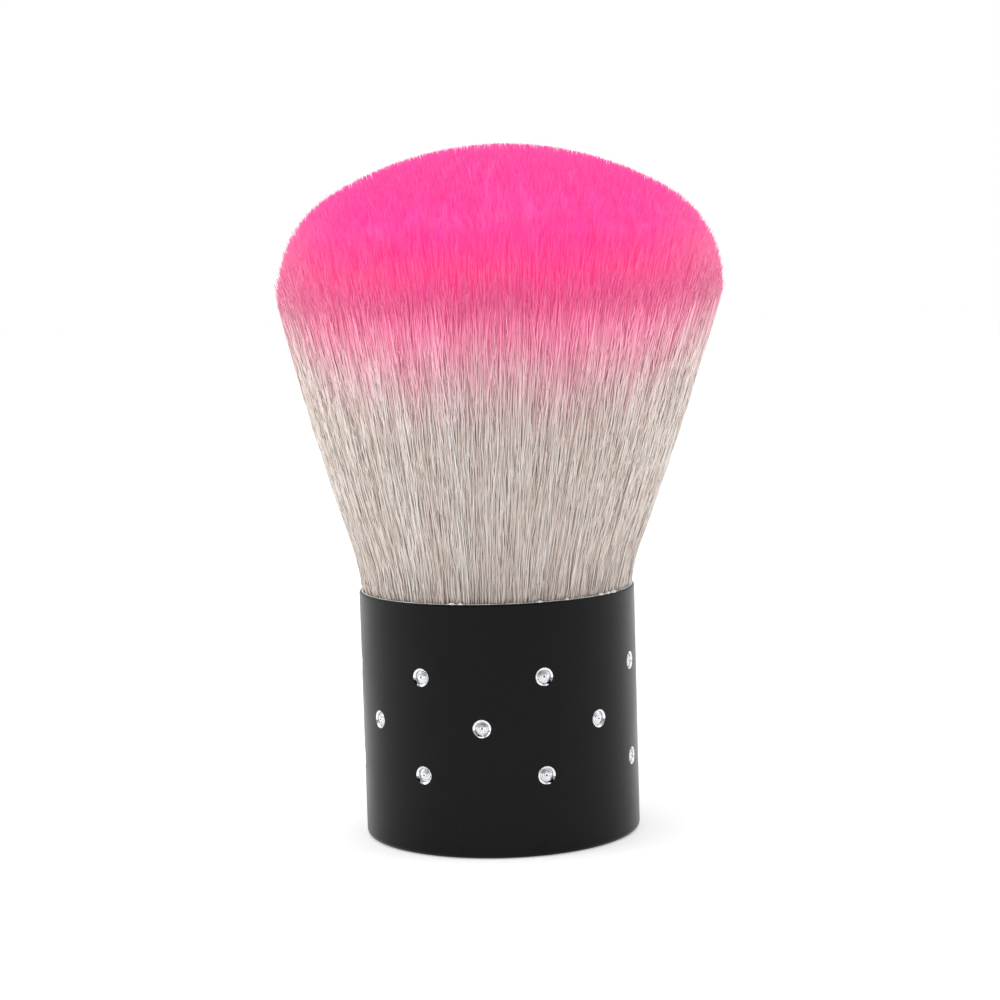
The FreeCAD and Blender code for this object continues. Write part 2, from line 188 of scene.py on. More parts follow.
@dataclass(frozen=True)
class AnodisedAluminium:
    """Turned aluminium with a black dye-filled oxide: a hard, satin, almost black dielectric skin.

    The lathe's fine feed lines stay under the oxide, and handling leaves faint dull patches.
    """

    name: str = "black_anodised_aluminium"
    colour: str = "0a0a0b"
    dull_colour: str = "0e0e0f"
    # The oxide's dyed pores drink light, so its gloss is well under that of a solid coating.
    ior: float = 1.22
    roughness: Pair = (0.24, 0.34)
    # Real feed lines are about 0.05 mm apart; they are drawn at 0.18 mm so that they show, and
    # run on for 25 mm round the handle before they change.
    feed: float = 0.18 * MM
    feed_length: float = 25 * MM
    feed_depth: float = 0.004 * MM
    patch: float = 7 * MM

    def material(self) -> Material:
        """Material with feed lines as bump and soft patches in colour and roughness."""
        made = Shading(self.name)
        patches = made.noise(self.patch, 3.0)
        rough = made.add("MapRange", inputs={
            "Value": patches, "From Min": 0.3, "From Max": 0.7,
            "To Min": self.roughness[0], "To Max": self.roughness[1]})
        place = made.add("TexCoord").outputs["Object"]
        stretched = made.add("Mapping", inputs={
            "Vector": place, "Scale": (1 / self.feed_length, 1 / self.feed_length, 1 / self.feed)})
        lines = made.add("TexNoise", inputs={
            "Vector": stretched.outputs["Vector"], "Scale": 1.0, "Detail": 2.0})
        return made.finish({
            "Base Color": made.ramp(patches, [(0.35, self.colour), (0.7, self.dull_colour)]),
            "Roughness": rough.outputs["Result"], "IOR": self.ior,
            "Normal": made.bump(lines.outputs["Fac"], 0.12, self.feed_depth)})


@dataclass(frozen=True)
class BrightCutAluminium:
    """Aluminium cut with a diamond tool after anodising: a mirror-bright bare bevel."""

    name: str = "bright_cut_aluminium"
    colour: str = "f4f4f6"
    dark_colour: str = "e2e2e6"
    roughness: float = 0.05
    # Tool chatter round a 2 mm seat, a few marks to the millimetre.
    chatter: float = 0.25 * MM
    chatter_depth: float = 0.01 * MM

    def material(self) -> Material:
        """Metal with faint chatter in its colour and surface."""
        made = Shading(self.name)
        marks = made.noise(self.chatter, 1.0)
        return made.finish({
            "Base Color": made.ramp(marks, [(0.35, self.dark_colour), (0.6, self.colour)]),
            "Metallic": 1.0, "Roughness": self.roughness,
            "Normal": made.bump(marks, 0.2, self.chatter_depth)})


@dataclass(frozen=True)
class FoiledStone:
    """Flat-backed cut acrylic over silver foil: bright facets with a pale body between glints."""

    name: str = "foiled_acrylic_stone"
    colour: str = "e9ebee"
    dark_colour: str = "c3c7cd"
    metallic: float = 0.6
    roughness: float = 0.06
    # The foil is crazed at about a seventh of a stone's width.
    craze: float = 0.22 * MM

    def material(self) -> Material:
        """Half-metallic body under a clear coat, mottled by the foil."""
        made = Shading(self.name)
        craze = made.noise(self.craze, 2.0)
        return made.finish({
            "Base Color": made.ramp(craze, [(0.32, self.dark_colour), (0.55, self.colour)]),
            "Metallic": self.metallic, "Roughness": self.roughness,
            "Coat Weight": 1.0, "Coat Roughness": 0.03, "Coat IOR": 1.49})


@dataclass(frozen=True)
class DyedFilament:
    """Extruded nylon filament, ivory as spun and dip-dyed hot pink at the tips: a soft gloss.

    The piece's own map carries the pattern: across it runs the filament's tint and up it the
    height along the head, so that the colour follows every filament.
    """

    name: str = "dip_dyed_nylon_filament"
    map_name: str = "OFBake"
    # Ivory and pink of the darkest, a middling and the palest filament.
    ivory: tuple[str, str, str] = ("c4aca0", "dfd1c8", "eae7e3")
    pink: tuple[str, str, str] = ("f23aa2", "fc3b9f", "ff57a5")
    # How far the dye has taken at each height: a faint foot, and a long fade above it.
    wash: tuple[Pair, ...] = (
        (39.5 * MM, 0.0), (43.7 * MM, 0.08), (46 * MM, 0.2), (48 * MM, 0.34), (50 * MM, 0.49),
        (51.9 * MM, 0.6), (53.8 * MM, 0.69), (55.6 * MM, 0.78), (58.5 * MM, 0.92), (62 * MM, 1.0))
    # Painted shade: the filaments are drawn darker towards the rim, most of all at the roots,
    # for the shade that gathers where the head goes down into the cup.
    painted_root_shade: tuple[tuple[float, str], ...] = (
        (25 * MM, "e8e8e7"), (29.5 * MM, "f8f8f8"), (34 * MM, "f9f9f9"), (43 * MM, "ffffff"))
    map_low: float = 20 * MM
    map_high: float = 72 * MM
    map_margin: float = 0.01
    # Share of the map that one filament's faces take up across it, and a cap's up it.
    map_width: float = 0.004
    cap_rise: float = 0.003
    roughness: float = 0.36
    ior: float = 1.5
    # Hot pink dye is fluorescent and gives back more red than falls on it. The glow here goes beyond
    # that: it is painted light, a steady light of the pink's own, as bright in shade as in light,
    # which brightens the pink and flattens the shade between filaments. Where the dye has only
    # partly taken, it glows by this power of what has taken.
    painted_glow: float = 0.31
    painted_glow_power: float = 1.6

    def up_map(self, heights: Array) -> Array:
        """Place up the map of each height, inside 0 to 1."""
        share = (heights - self.map_low) / (self.map_high - self.map_low)
        return np.clip(share, self.map_margin, 1 - self.map_margin)

    def across_map(self, tint: Array, share: Array) -> Array:
        """Place across the map, of a tint and a place round the filament, each inside 0 to 1."""
        span = 1 - 2 * self.map_margin - self.map_width
        return self.map_margin + span * tint + self.map_width * share

    def by_height(self, levels: tuple[tuple[float, Any], ...]) -> Stops:
        """The same levels, at places up the map instead of heights."""
        places = self.up_map(np.array([height for height, _ in levels]))
        return [(float(place), level) for place, (_, level) in zip(places, levels)]

    def material(self) -> Material:
        """Material whose colour is read from the tint and the height on the piece's map."""
        made = Shading(self.name)
        place = made.add("UVMap", {"uv_map": self.map_name})
        parts = made.add("SeparateXYZ", inputs={"Vector": place.outputs["UV"]})
        tint, up = parts.outputs["X"], parts.outputs["Y"]
        taken = made.ramp(up, self.by_height(self.wash), "CARDINAL")
        tints = (0.0, 0.5, 1.0)
        # The ivory is darkened towards the rim by the painted root shade.
        ivory = made.mix("MULTIPLY", 1.0, made.ramp(tint, list(zip(tints, self.ivory))),
                         made.ramp(up, self.by_height(self.painted_root_shade)))
        pink = made.ramp(tint, list(zip(tints, self.pink)))
        # Share of the painted glow at each place: what has taken, to a power.
        full = made.add("Math", {"operation": "POWER"}, {0: taken, 1: self.painted_glow_power})
        return made.finish({
            "Base Color": made.mix("MIX", taken, ivory, pink),
            "Roughness": self.roughness, "IOR": self.ior,
            "Emission Color": made.mix("MIX", full.outputs[0], (0, 0, 0, 1), pink),
            "Emission Strength": self.painted_glow})


@dataclass(frozen=True)
class AdhesiveWithPaintedGlints:
    """Cured cyanoacrylate, glossy and faintly milky where it is thick. Its near-white colour, with
    little light let through, is partly painted highlight, for the bright glints on the rim.
    """

    name: str = "cyanoacrylate_with_painted_glints"
    # Near white: partly painted highlight for the glints on the rim's drops.
    colour: str = "f4f4f2"
    milky_colour: str = "d8d8d5"
    transmission: float = 0.2
    roughness: float = 0.1
    cloud: float = 0.8 * MM
    ripple: float = 0.05 * MM

    def material(self) -> Material:
        """Partly clear body with cloudy patches and a slightly uneven skin."""
        made = Shading(self.name)
        cloud = made.noise(self.cloud, 2.0)
        return made.finish({
            "Base Color": made.ramp(cloud, [(0.35, self.milky_colour), (0.65, self.colour)]),
            "Roughness": self.roughness, "Transmission Weight": self.transmission, "IOR": 1.47,
            "Normal": made.bump(cloud, 0.5, self.ripple)})


@dataclass(frozen=True)
class MottledSolid:
    """A plain solid such as moulded ABS, cast epoxy or spun thread, with a grain of its own."""

    name: str
    colour: str
    second_colour: str
    roughness: float
    ior: float
    grain: float
    bump: float

    def material(self) -> Material:
        """Two close tones and a bump at the grain's size."""
        made = Shading(self.name)
        grain = made.noise(self.grain, 4.0)
        return made.finish({
            "Base Color": made.ramp(grain, [(0.35, self.colour), (0.65, self.second_colour)]),
            "Roughness": self.roughness, "IOR": self.ior,
            "Normal": made.bump(grain, self.bump, 0.1 * self.grain)})


MOULDED_ABS = MottledSolid("moulded_black_abs", "1d1d1f", "262628", 0.45, 1.53, 0.4 * MM, 0.3)
CAST_EPOXY = MottledSolid("cast_amber_epoxy", "c8a468", "dcc08c", 0.12, 1.55, 3 * MM, 0.1)
SPUN_POLYESTER = MottledSolid("spun_polyester_thread", "d8d4ca", "f2efe8", 0.6, 1.55, 0.12 * MM, 0.9)
# Near black: the stones' painted dark reflections.
PAINTED_DARK_FACETS = MottledSolid("painted_dark_facet_reflection", "1c1c1f", "303034", 0.1, 1.49, 0.1 * MM, 0.1)
MATT_PAPER = MottledSolid("white_backdrop_paper", "f4f4f4", "f7f7f7", 0.9, 1.45, 0.5 * MM, 0.05)


# --- Meshes ---


@dataclass(frozen=True)
class Patch:
    """A grid of points, the normals that it is shaded by, and its material's number."""

    points: Array
    normals: Array
    slot: int = 0

    def corners(self, grid: Array) -> Array:
        """Values of a grid at the four corners of each cell, cell after cell."""
        first, last = slice(None, -1), slice(1, None)
        around = [(first, first), (first, last), (last, last), (last, first)]
        return np.stack([grid[cell] for cell in around], axis=2).reshape(-1, 4, 3)


def unit(vectors: Array) -> Array:
    """Vectors, along the last axis, made one long."""
    return vectors / np.maximum(np.linalg.norm(vectors, axis=-1, keepdims=True), 1e-12)


def put_mesh(name: str, points: Array, corners: Array, sides: Array) -> bpy.types.Mesh:
    """Smooth mesh of vertices, the vertex number of each face corner, and each face's corners."""
    mesh = bpy.data.meshes.new(name)
    mesh.vertices.add(len(points))
    mesh.vertices.foreach_set("co", points.astype(np.float32).ravel())
    mesh.loops.add(len(corners))
    mesh.loops.foreach_set("vertex_index", corners.astype(np.int32))
    mesh.polygons.add(len(sides))
    starts = np.concatenate([[0], np.cumsum(sides)[:-1]]).astype(np.int32)
    mesh.polygons.foreach_set("loop_start", starts)
    mesh.update(calc_edges=True)
    mesh.shade_smooth()
    return mesh


def put_map(mesh: bpy.types.Mesh, name: str, across: Array, up: Array) -> None:
    """Give a mesh a UV map, from the place of each face corner across and up it."""
    layer = mesh.uv_layers.new(name=name)
    layer.data.foreach_set("uv", np.stack([across, up], axis=-1).astype(np.float32).ravel())


def show(mesh: bpy.types.Mesh) -> Piece:
    """Object of a finished mesh, at the origin, named after it."""
    piece = bpy.data.objects.new(mesh.name, mesh)
    bpy.context.scene.collection.objects.link(piece)
    return piece


def weld(name: str, patches: list[Patch], materials: list[Material], flat: bool = False) -> Piece:
    """Join grids into one closed piece.

    Points that coincide become one vertex, a cell that comes to a point becomes a triangle, and
    each cell is wound so that it faces the way of its patch's normals.

    Args:
        name: the piece's name.
        patches: the grids.
        materials: one for each slot number that the patches use.
        flat: shade by facets and leave the patches' normals out.

    Returns:
        The piece, at the origin.
    """
    quads = np.concatenate([patch.corners(patch.points) for patch in patches])
    normals = np.concatenate([patch.corners(patch.normals) for patch in patches])
    slots = np.concatenate([
        np.full(len(patch.corners(patch.points)), patch.slot) for patch in patches])

    seen = np.cross(quads[:, 2] - quads[:, 0], quads[:, 3] - quads[:, 1])
    wrong = (seen * normals.mean(axis=1)).sum(axis=-1) < 0
    quads[wrong] = quads[wrong][:, ::-1]
    normals[wrong] = normals[wrong][:, ::-1]

    same_place = 0.0001 * MM
    keys = np.round(quads.reshape(-1, 3) / same_place).astype(np.int64)
    _, first, numbers = np.unique(keys, axis=0, return_index=True, return_inverse=True)
    points = quads.reshape(-1, 3)[first]
    numbers = numbers.reshape(-1, 4)
    keep = numbers != np.roll(numbers, -1, axis=1)
    whole = keep.sum(axis=1) >= 3
    keep, numbers, normals, slots = keep[whole], numbers[whole], normals[whole], slots[whole]

    mesh = put_mesh(name, points, numbers[keep], keep.sum(axis=1))
    mesh.polygons.foreach_set("material_index", slots.astype(np.int32))
    for material in materials:
        mesh.materials.append(material)
    if flat:
        mesh.shade_flat()
    else:
        mesh.normals_split_custom_set(unit(normals[keep]).tolist())
    return show(mesh)


def turned(radii: Array, heights: Array, out: Array, up: Array, columns: int) -> Patch:
    """Surface of revolution about +Z, as a grid of outline by angle.

    A point of the outline at (radius, height) becomes (radius sin t, -radius cos t, height) for
    t in equal steps round a full turn, and its normal, of parts out and up, turns with it.
    """
    ring = facing(np.arange(columns + 1) % columns * (TAU / columns))
    points, normals = (level[:, None, None] * ring + rise[:, None, None] * UP
                       for level, rise in ((radii, heights), (out, up)))
    return Patch(points, normals)


def turned_line(start: Pair, end: Pair, steps: int, columns: int) -> Patch:
    """Cone, cylinder or disc: a line between two places of radius and height, turned about +Z.

    The normal is the line's direction turned a quarter clockwise, so an outline that runs
    upwards faces out.
    """
    share = np.linspace(0, 1, steps + 1)
    run, rise = end[0] - start[0], end[1] - start[1]
    length = math.hypot(run, rise)
    level = np.ones(steps + 1)
    return turned(start[0] + run * share, start[1] + rise * share,
                  level * rise / length, -level * run / length, columns)


def turned_arc(centre: Pair, radius: float, start: float, steps: int, columns: int) -> Patch:
    """Part of a torus: a quarter of a circle, from an angle a to a quarter turn on, about +Z.

    The outline is centre + radius (cos a, sin a), and its normal is (cos a, sin a).
    """
    angles = np.linspace(start, start + TAU / 4, steps + 1)
    out, up = np.cos(angles), np.sin(angles)
    return turned(centre[0] + radius * out, centre[1] + radius * up, out, up, columns)


# --- Handle ---


@dataclass(frozen=True)
class Seat:
    """Place of one stone: its CAD node, its direction and its centre's height."""

    node: str
    turn: float
    height: float

    def spokes(self, angles: Array) -> Array:
        """Unit vectors across the seat's axis: cos a sideways and sin a up."""
        tangent = np.array([math.cos(self.turn), math.sin(self.turn), 0.0])
        return np.cos(angles)[:, None] * tangent + np.sin(angles)[:, None] * UP


@dataclass
class Handle:
    """The anodised cup with its 21 bright-cut stone seats."""

    wall: float = 1.2 * MM
    floor: float = 1.5 * MM
    foot_radius: float = 0.55 * MM
    rim_radius: float = 0.16 * MM
    rim_land: float = 0.1 * MM
    chamfer_depth: float = 2 * MM
    stones_per_row: int = 7
    seat_radius: float = 0.715 * MM
    seat_depth: float = 0.83 * MM
    bevel_width: float = 0.175 * MM
    # The bevel is a hollow cut by a ball-ended tool: it leans least at its inner edge.
    bevel_lean_degrees: Pair = (30, 39)
    bevel_rings: int = 4
    half_cell_columns: int = 12
    cell_rows: int = 8
    cell_rings: int = 6
    wall_steps: int = 4
    foot_steps: int = 8
    rim_steps: int = 6

    def __post_init__(self) -> None:
        """Read the outer size and the rows' heights from the frame."""
        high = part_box("handle_cup")[1]
        self.radius = high.x
        self.height = high.z
        self.mouth = self.radius - self.rim_radius - self.rim_land
        centres = {row: sum(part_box(f"stone_{row.label}_1"), Vector()) / 2 for row in StoneRow}
        self.row_heights = {row: centre.z for row, centre in centres.items()}
        self.pitch = (self.row_heights[StoneRow.UPPER] - self.row_heights[StoneRow.LOWER]) / 2

    def seats(self) -> Iterator[Seat]:
        """Every seat, row by row."""
        for row, height in self.row_heights.items():
            for index in range(self.stones_per_row):
                turn = (2 * index + row.half_turns) * math.pi / self.stones_per_row
                yield Seat(f"stone_{row.label}_{index + 1}", turn, height)

    def cell_border(self) -> tuple[Array, Array]:
        """Border of the cell round one seat, as arc and height from the seat's centre.

        It runs once round the rectangle that is one pitch wide and one row high, in steps that
        match the cells beside it, and its last point repeats the first.
        """
        half_arc = math.pi * self.radius / self.stones_per_row
        across = np.linspace(-half_arc, half_arc, 2 * self.half_cell_columns + 1)
        upright = np.linspace(-self.pitch / 2, self.pitch / 2, self.cell_rows + 1)
        arc = np.concatenate([across[:-1], np.full(self.cell_rows, half_arc), across[:0:-1],
                              np.full(self.cell_rows, -half_arc), across[:1]])
        height = np.concatenate([
            np.full(len(across) - 1, upright[0]), upright[:-1],
            np.full(len(across) - 1, upright[-1]), upright[:0:-1], upright[:1]])
        return arc, height

    def seat_patches(self, seat: Seat) -> list[Patch]:
        """One cell of the wall with its seat.

        The wall runs from the seat's round edge to the cell's border in even steps; a place that
        is an arc s round it from the seat is at direction seat + s / R. The bevel is part of a
        ball of radius b: where it leans by a, it is b (sin a - sin a0) outside the bore and
        b (cos a - cos a1) below the wall. The bore ends in a flat floor.

        Args:
            seat: the seat's place.

        Returns:
            Wall, bevel, bore and floor.
        """
        border_arc, border_height = self.cell_border()
        around = np.arctan2(border_height, border_arc)
        edge = self.seat_radius + self.bevel_width
        edge_arc = self.radius * np.arcsin(edge * np.cos(around) / self.radius)
        edge_height = edge * np.sin(around)
        share = np.linspace(0, 1, self.cell_rings + 1)[:, None]
        normals = facing(seat.turn + (edge_arc + (border_arc - edge_arc) * share) / self.radius)
        heights = seat.height + edge_height + (border_height - edge_height) * share
        points = normals * self.radius + heights[..., None] * UP
        patches = [Patch(points, normals)]

        axis, spoke, middle = facing(seat.turn), seat.spokes(around), seat.height * UP
        lean = np.radians(np.linspace(*self.bevel_lean_degrees[::-1], self.bevel_rings + 1))
        ball = self.bevel_width / (math.sin(lean[0]) - math.sin(lean[-1]))
        out = self.seat_radius + ball * (np.sin(lean) - math.sin(lean[-1]))
        sunk = ball * (np.cos(lean) - math.cos(lean[0]))
        bevel = middle + axis * (self.radius - sunk)[:, None, None] + out[:, None, None] * spoke
        bevel[0] = points[0]
        bevel_normals = np.cos(lean)[:, None, None] * axis - np.sin(lean)[:, None, None] * spoke
        patches.append(Patch(bevel, bevel_normals, 1))
        floor_middle = np.broadcast_to(middle + axis * (self.radius - self.seat_depth), spoke.shape)
        bore_foot = floor_middle + spoke * self.seat_radius
        up_axis = np.broadcast_to(axis, spoke.shape)
        for top, foot, normal in [(bevel[-1], bore_foot, -spoke), (bore_foot, floor_middle, up_axis)]:
            patches.append(Patch(np.stack([top, foot]), np.stack([normal, normal]), 1))
        return patches

    def build(self) -> Piece:
        """Make the cup as one closed shell, anodised outside its bright-cut seats."""
        radius, height, foot, rim = self.radius, self.height, self.foot_radius, self.rim_radius
        columns = 2 * self.stones_per_row * self.half_cell_columns
        lowest = self.row_heights[StoneRow.LOWER] - self.pitch / 2
        highest = self.row_heights[StoneRow.UPPER] + self.pitch / 2
        bore = radius - self.wall
        chamfer_foot = height - self.chamfer_depth
        patches = [
            turned_line((0, 0), (radius - foot, 0), self.foot_steps, columns),
            turned_arc((radius - foot, foot), foot, -TAU / 4, self.foot_steps, columns),
            turned_line((radius, foot), (radius, lowest), self.wall_steps, columns),
            turned_line((radius, highest), (radius, height - rim), self.wall_steps, columns),
            turned_arc((radius - rim, height - rim), rim, 0, self.rim_steps, columns),
            turned_line((radius - rim, height), (self.mouth, height), 1, columns),
            turned_line((self.mouth, height), (bore, chamfer_foot), 2, columns),
            turned_line((bore, chamfer_foot), (bore, self.floor), self.wall_steps, columns),
            turned_line((bore, self.floor), (0, self.floor), self.wall_steps, columns),
        ]
        for seat in self.seats():
            patches += self.seat_patches(seat)
        return weld("handle_shell", patches, [
            AnodisedAluminium().material(), BrightCutAluminium().material()])

    def add(self) -> None:
        """Build the cup and let it stand for its CAD node."""
        piece = self.build()
        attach(piece, "root")
        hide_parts("handle_cup")
        LOG.info("handle: %d faces", len(piece.data.polygons))


# --- Stones ---


@dataclass
class Stones:
    """Flat-backed step-cut stones, one in each seat."""

    handle: Handle
    sides: int = 16
    recess: float = 0.05 * MM
    # Radius and depth of each step in millimetres, from the back to the middle of the front,
    # and whether the facet that follows it is foiled or painted dark: the narrow steep facets
    # that part the wide ones, and the small pit in the middle, are painted near black for the
    # dark reflections that a cut stone shows there.
    steps: tuple[tuple[float, float, Foil], ...] = (
        (0.0, 0.70, Foil.SILVER), (0.705, 0.70, Foil.SILVER), (0.705, 0.215, Foil.SILVER),
        (0.62, 0.175, Foil.NONE), (0.60, 0.155, Foil.SILVER), (0.46, 0.093, Foil.NONE),
        (0.435, 0.073, Foil.SILVER), (0.27, 0.030, Foil.NONE), (0.25, 0.015, Foil.SILVER),
        (0.10, 0.0, Foil.NONE), (0.07, 0.045, Foil.NONE), (0.0, 0.045, Foil.NONE))

    def build(self, seat: Seat, materials: list[Material]) -> Piece:
        """Make one stone.

        Each step is a regular polygon about the seat's axis: corner number k of a step with
        radius r stands at r (cos a, sin a) across the axis, where a = k / sides of a turn.

        Args:
            seat: the seat that it fills.
            materials: one for the silver foil and one for the painted dark reflection.

        Returns:
            The piece.
        """
        spoke = seat.spokes(np.arange(self.sides + 1) % self.sides * (TAU / self.sides))
        radii, depths = (np.array(column) * MM for column in list(zip(*self.steps))[:2])
        table = self.handle.radius - self.recess
        axis, level = facing(seat.turn), seat.height * UP
        points = level + axis * (table - depths)[:, None, None] + spoke * radii[:, None, None]
        out = unit(points - (level + axis * (table - depths.mean())))
        facets = [Patch(points[i:i + 2], out[i:i + 2], foil.value)
                  for i, (_, _, foil) in enumerate(self.steps[:-1])]
        return weld(f"cut_{seat.node}", facets, materials, flat=True)

    def add(self) -> None:
        """Build every stone and let it stand for its CAD node."""
        materials = [FoiledStone().material(), PAINTED_DARK_FACETS.material()]
        for seat in self.handle.seats():
            piece = self.build(seat, materials)
            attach(piece, "root")
            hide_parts(seat.node)
        LOG.info("stones: %d rows", len(StoneRow))


# --- Filament head ---


@dataclass(frozen=True)
class Layer:
    """One layer of filaments: how many, in how many pieces, and how each line runs."""

    name: str
    filaments: int
    pieces: int
    knots: int
    # Size of the wander, 1 for a full-length filament, and spread of the steady slant.
    stray: float
    tilt: float
    # Thickness at the start, at a quarter, at three quarters and at the tip.
    taper: tuple[float, float, float, float]


FULL = Layer("filaments_full", 3600, 2, 13, 1.0, 0.02, (1, 1, 1, 0.5))
SURFACING = Layer("filaments_surfacing", 30000, 5, 5, 0.7, 0.055, (0.7, 1, 1, 0.5))
CROWN = Layer("filaments_crown", 42000, 4, 3, 0.6, 0.04, (1, 1, 0.9, 0.35))


@dataclass(frozen=True)
class Lines:
    """Centre lines of filaments, row by row: points and directions of their knots, thicknesses,
    and the tint of each filament."""

    points: Array
    turns: Array
    thickness: Array
    tint: Array

    def rows(self, rows: Array) -> "Lines":
        """Some of the filaments, by their numbers."""
        return Lines(self.points[rows], self.turns[rows], self.thickness[rows], self.tint[rows])


@dataclass
class FilamentHead:
    """The potted head: full-length outer filaments, the tips of the inner ones, and a core."""

    handle: Handle
    finish: DyedFilament = DyedFilament()
    mouth_radius: float = 13.1 * MM
    mouth_swell: float = 0.55 * MM
    swell_height: float = 1.8 * MM
    side_swell: float = 0.36 * MM
    shoulder_radius: float = 10.75 * MM
    crown_radius: float = 33 * MM
    # The tips keep this far inside the CAD bundle's side.
    side_inset: float = 0.29 * MM
    # Filaments this share of the way out, and further, show along their whole length.
    side_share: float = 0.955
    root_height: float = 22 * MM
    full_share: float = 0.985
    surfacing_share: float = 0.97
    surfacing_length: Pair = (6 * MM, 14 * MM)
    surfacing_sink: float = 0.026
    crown_length: Pair = (4 * MM, 7 * MM)
    # The tips crowd a little towards the side (0.5 would be even), and are drawn this much
    # longer there, where the head's flank shows more of them. The side is where a filament's
    # share of the way out, to this power, is not small.
    crown_crowding: float = 0.47
    crown_stretch: float = 0.9
    side_power: int = 8
    # The core keeps this far inside the cone, below the shoulder and under the dome.
    core_inset: float = 0.6 * MM
    core_drop: float = 3 * MM
    core_sunk: float = 0.9 * MM
    # The core's tint is darker than the filaments': painted shade for the depth between them.
    core_painted_shade_tint: float = 0.4
    core_columns: int = 96
    core_rows: int = 16
    # Share of the tips that are level with the dome, how level they are, and how far under it
    # the others end on average.
    level_share: float = 0.5
    level_tips: float = 0.05 * MM
    short_tips: float = 0.8 * MM
    # Painted shade: a filament is drawn darker the deeper it lies. Depth under the surface that
    # takes a filament from the palest tint to the darkest, and the most that a crown filament
    # counts as under it.
    painted_shade_depth: float = 3.6 * MM
    crown_painted_shade_depth: float = 0.6 * MM
    thickness: Pair = (0.045 * MM, 0.07 * MM)
    # Spread of a filament's sway in direction and of its dive in share of the radius, and the
    # number of waves of each along the line.
    sway: float = 0.006
    sway_waves: Pair = (0.6, 1.8)
    dive: float = 0.010
    dive_waves: Pair = (1.0, 3.2)
    # The head leans this far in a direction over a height above the rim, and at most
    # lean_limit times as far higher up.
    lean: float = 1.03 * MM
    lean_height: float = 27 * MM
    lean_limit: float = 1.25
    lean_turn: float = math.radians(97.5)
    # The dye line stands higher at the two sides, as the camera sees them, than at front and back:
    # partly the dip's own line, partly painted sheen that pales the pink towards the head's
    # outline. Small uneven waves lie on it: share of the rise, waves in a turn and phase of each.
    dye_and_sheen_rise: float = 4.4 * MM
    # Direction where the line is lowest: the camera's own, since the rise is partly painted sheen.
    dye_and_sheen_turn: float = math.radians(7.5)
    dye_waves: tuple[tuple[float, int, float], ...] = ((0.07, 5, 1.3), (0.05, 11, 0.4))
    dye_scatter: float = 0.8 * MM
    # Locks of filaments: how many pass in a turn, how fast they slant with height, how far they
    # shift their filaments sideways and how far in or out, as a share of the radius. They shift
    # them in more than out.
    locks: tuple[tuple[int, float, float, float], ...] = (
        (31, 60.0, 0.010, 0.003), (53, -140.0, 0.006, 0.003), (89, 210.0, 0.003, 0.002))
    lock_pull: float = 0.9
    # Tint of a filament at the surface, how far it varies by chance and from clump to clump.
    mean_tint: float = 0.64
    tint_scatter: float = 0.14
    clump_tint: float = 0.12
    clumps: int = 150
    seed: int = 7

    def __post_init__(self) -> None:
        """Read the head's size from the frame and work out its outline's centres."""
        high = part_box("bristle_bundle")[1]
        self.top = high.z
        self.radius = high.x - self.side_inset
        self.rim = self.handle.height
        self.crown_centre = self.top - self.crown_radius
        self.shoulder_out = self.radius - self.shoulder_radius
        crown_to_shoulder = self.crown_radius - self.shoulder_radius
        self.shoulder_up = self.crown_centre + math.sqrt(crown_to_shoulder ** 2 - self.shoulder_out ** 2)
        out, up = self.shoulder_out - self.mouth_radius, self.shoulder_up - self.rim
        slope = math.atan2(up, out) - math.asin(self.shoulder_radius / math.hypot(out, up))
        self.flare = 1 / math.tan(slope)
        # Radius where the shoulder's arc meets the crown's.
        self.crown_edge = self.shoulder_out * self.crown_radius / crown_to_shoulder
        self.random = np.random.default_rng(self.seed)

    def cone(self, heights: Array) -> Array:
        """Radius of the outermost filaments.

        It is a straight line from the rim's mouth, swollen by a bell curve just above the rim
        where the filaments lie on the rim's edge before they straighten, and by half a sine wave
        from there to the shoulder.
        """
        above = heights - self.rim
        mouth = self.mouth_swell * np.exp(-(above / self.swell_height) ** 2)
        rise = np.clip(above / self.lean_height, 0, 1)
        return self.mouth_radius + self.flare * above + mouth + self.side_swell * np.sin(math.pi * rise)

    def dome(self, radii: Array) -> Array:
        """Height of the domed top at a distance from the axis.

        Inside the crown's edge it is the crown's circle, and outside it the shoulder's; past the
        head's radius it is the shoulder centre's height.
        """
        crown = self.crown_centre + np.sqrt(np.maximum(self.crown_radius ** 2 - radii ** 2, 0))
        inside = self.shoulder_radius ** 2 - (radii - self.shoulder_out) ** 2
        shoulder = self.shoulder_up + np.sqrt(np.maximum(inside, 0))
        return np.where(radii < self.crown_edge, crown, shoulder)

    def tip_height(self, share: Array) -> Array:
        """Height where a filament that stands share of the way out reaches the dome.

        It follows share times the cone, under the dome at first, and past it once the dome at
        its radius is lower than it is. The place between is found by halving.
        """
        low = np.full(share.shape, self.rim)
        high = np.full(share.shape, self.top)
        for _ in range(30):
            middle = (low + high) / 2
            radii = share * self.cone(middle)
            past = (middle > self.dome(radii)) | (radii > self.radius)
            high = np.where(past, middle, high)
            low = np.where(past, low, middle)
        return low

    def leaned(self, turn: Array, radii: Array, heights: Array) -> Array:
        """Points at (radius sin t, -radius cos t, height), moved sideways by the head's lean."""
        share = np.clip((heights - self.rim) / self.lean_height, 0, self.lean_limit)
        shift = self.lean * share
        return (radii[..., None] * facing(turn) + shift[..., None] * facing(self.lean_turn)
                + heights[..., None] * UP)

